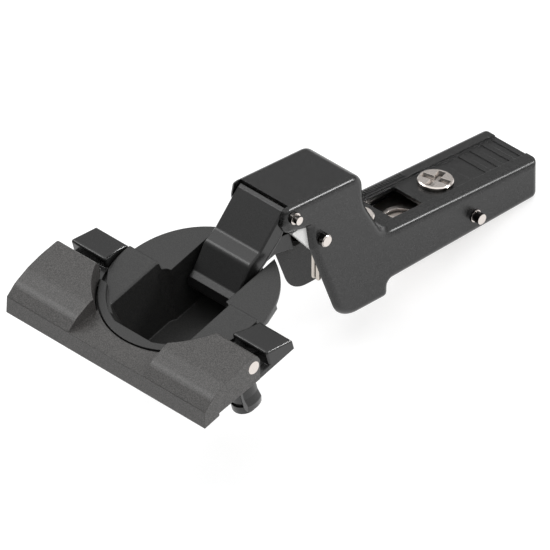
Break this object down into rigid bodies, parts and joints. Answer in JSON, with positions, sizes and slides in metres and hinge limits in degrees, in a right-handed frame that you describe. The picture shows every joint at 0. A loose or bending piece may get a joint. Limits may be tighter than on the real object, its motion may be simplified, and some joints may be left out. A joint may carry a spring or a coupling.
{
  "type": "concealed cabinet hinge",
  "caption": "Concealed cup hinge for cabinet doors: cup with cover flap and dowels, folding link pair and a cranked clip-on arm with adjusting screws.",
  "frame": {"origin": "centre of the round cup boss on the door's face, under the flange", "axes": "+Z out of the door, +Y along the open arm away from the cup, +X across the hinge"},
  "size_m": [0.0612, 0.1212, 0.0538],
  "materials": {
    "cup_black": "fine textured black",
    "textured_grey": "coarse speckled dark grey",
    "gloss_black_plastic": "gloss",
    "dark_plastic": "matt",
    "link_black": "satin",
    "satin_black": "satin with bright edges",
    "nickel_pin": "nickel plated",
    "nickel_plate": "nickel plated",
    "nickel_screw": "nickel plated",
    "spring_steel": "drawn wire",
    "light_plastic": "matt"
  },
  "bodies": {
    "cup": {"cup_pot": "cup_black", "cup_pin_outer_link": "nickel_pin", "cup_pin_inner_link": "nickel_pin", "dowel_left": "gloss_black_plastic", "dowel_right": "gloss_black_plastic"},
    "flap": {"cover_flap": "textured_grey", "flap_pin_left": "nickel_pin", "flap_pin_right": "nickel_pin"},
    "expander_right": {"expander_right": "dark_plastic"},
    "expander_left": {"expander_left": "dark_plastic"},
    "outer_link": {"outer_link": "link_black"},
    "inner_link": {"inner_link": "link_black"},
    "arm": {"arm_channel": "satin_black", "arm_pin_outer_link": "nickel_pin", "arm_pin_inner_link": "nickel_pin", "closing_spring_left": "spring_steel", "closing_spring_right": "spring_steel", "guide_cheek_left": "light_plastic", "guide_cheek_right": "light_plastic"},
    "rear_guide": {"rear_pin": "nickel_pin"},
    "adjuster": {"adjusting_plate": "nickel_plate", "lever_pin": "nickel_pin"},
    "clip_lever": {"clip_lever": "nickel_plate"},
    "depth_screw": {"depth_screw": "nickel_screw"},
    "side_screw": {"side_screw": "nickel_screw"}
  },
  "joints": [
    {"name": "outer_link_pivot", "type": "hinge", "parent": "cup", "child": "outer_link", "pos_m": [0, 0.0083, -0.0074], "axis": [1, 0, 0], "range_deg": [0, 111]},
    {"name": "inner_link_pivot", "type": "hinge", "parent": "cup", "child": "inner_link", "pos_m": [0, 0.0109, -0.0043], "axis": [1, 0, 0], "range_deg": [0, 127.5]},
    {"name": "arm_pivot", "type": "hinge", "parent": "outer_link", "child": "arm", "pos_m": [0, 0.02568, 0.00733], "axis": [1, 0, 0], "range_deg": [-6, 0]},
    {"name": "flap_hinge", "type": "hinge", "parent": "cup", "child": "flap", "pos_m": [0, -0.0102, 0.0046], "axis": [-1, 0, 0], "range_deg": [0, 74]},
    {"name": "expander_slide_right", "type": "slide", "parent": "cup", "child": "expander_right", "axis": [0, 0, -1], "range_m": [0, 0.00096]},
    {"name": "expander_slide_left", "type": "slide", "parent": "cup", "child": "expander_left", "axis": [0, 0, -1], "range_m": [0, 0.00096]},
    {"name": "adjuster_tilt", "type": "hinge", "parent": "arm", "child": "rear_guide", "pos_m": [0, 0.07343, -0.03424], "axis": [1, 0, 0], "range_deg": [-1.5, 1.5]},
    {"name": "depth_slide", "type": "slide", "parent": "rear_guide", "child": "adjuster", "axis": [0, 0.9657, -0.2597], "range_m": [-0.00197, 0.00197]},
    {"name": "side_screw_turn", "type": "hinge", "parent": "arm", "child": "side_screw", "pos_m": [0, 0.04853, -0.01823], "axis": [0, 0.2597, 0.9657], "range_deg": [-353, 353]},
    {"name": "depth_screw_turn", "type": "hinge", "parent": "arm", "child": "depth_screw", "pos_m": [0, 0.07147, -0.0269], "axis": [0, 0.3363, 0.9418], "range_deg": [-48, 48]},
    {"name": "clip_lever_pivot", "type": "hinge", "parent": "adjuster", "child": "clip_lever", "pos_m": [0, 0.07974, -0.03656], "axis": [1, 0, 0], "range_deg": [0, 15], "stiffness_Nm_per_rad": 0.1, "springref_deg": -5.73}
  ],
  "couplings": [
    {"joint": "inner_link_pivot", "follows": "outer_link_pivot", "ratio": 1.148},
    {"joint": "arm_pivot", "follows": "outer_link_pivot", "ratio": -0.0536},
    {"joint": "expander_slide_right", "follows": "flap_hinge", "m_per_rad": 0.000738},
    {"joint": "expander_slide_left", "follows": "flap_hinge", "m_per_rad": 0.000738},
    {"joint": "side_screw_turn", "follows": "adjuster_tilt", "ratio": 235.3},
    {"joint": "depth_screw_turn", "follows": "depth_slide", "rad_per_m": 425}
  ]
}
